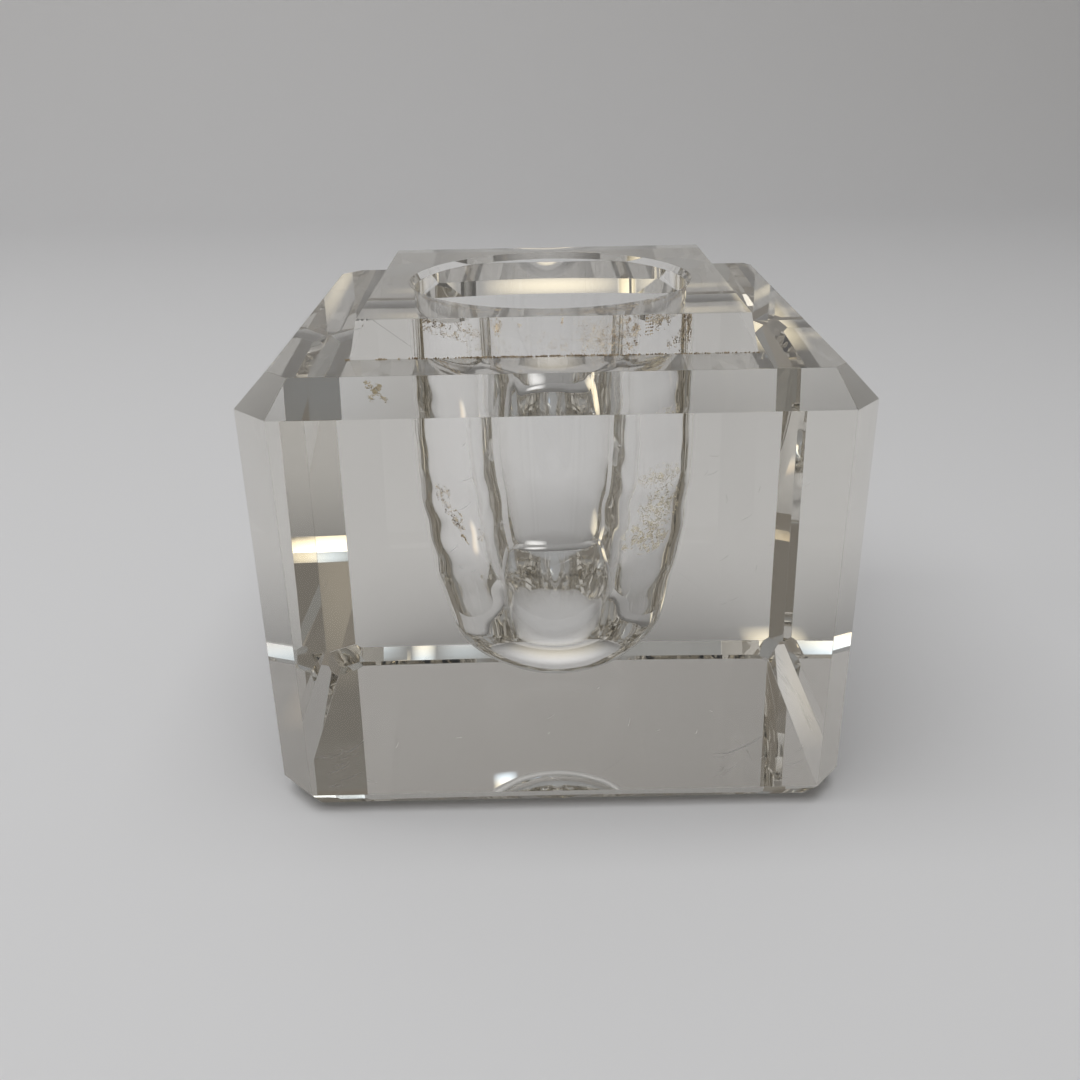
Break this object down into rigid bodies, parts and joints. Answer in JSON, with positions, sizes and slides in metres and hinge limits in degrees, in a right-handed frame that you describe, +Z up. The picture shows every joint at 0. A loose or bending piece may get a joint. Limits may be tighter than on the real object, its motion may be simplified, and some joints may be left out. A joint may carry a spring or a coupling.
{
  "type": "inkwell",
  "caption": "Clear cut-glass desk inkwell: a nearly square block with ground bevels, a raised square neck for a lid's collar and a deep round well.",
  "frame": {"origin": "centre of the base, at the height of the surface that the inkwell stands on", "axes": "+Z up out of the well's mouth; -Y is the front; +X is to the right seen from the front"},
  "size_m": [0.064, 0.0604, 0.054],
  "materials": {
    "clear_glass": "polished",
    "old_cement": "dry and crumbly",
    "dried_ink": "thin matte crust"
  },
  "bodies": {
    "root": {"glass_block": "clear_glass", "neck_cement": "old_cement", "bevel_cement": "old_cement", "mouth_ink": "dried_ink", "left_wall_ink": "dried_ink", "right_wall_ink": "dried_ink"}
  },
  "joints": []
}
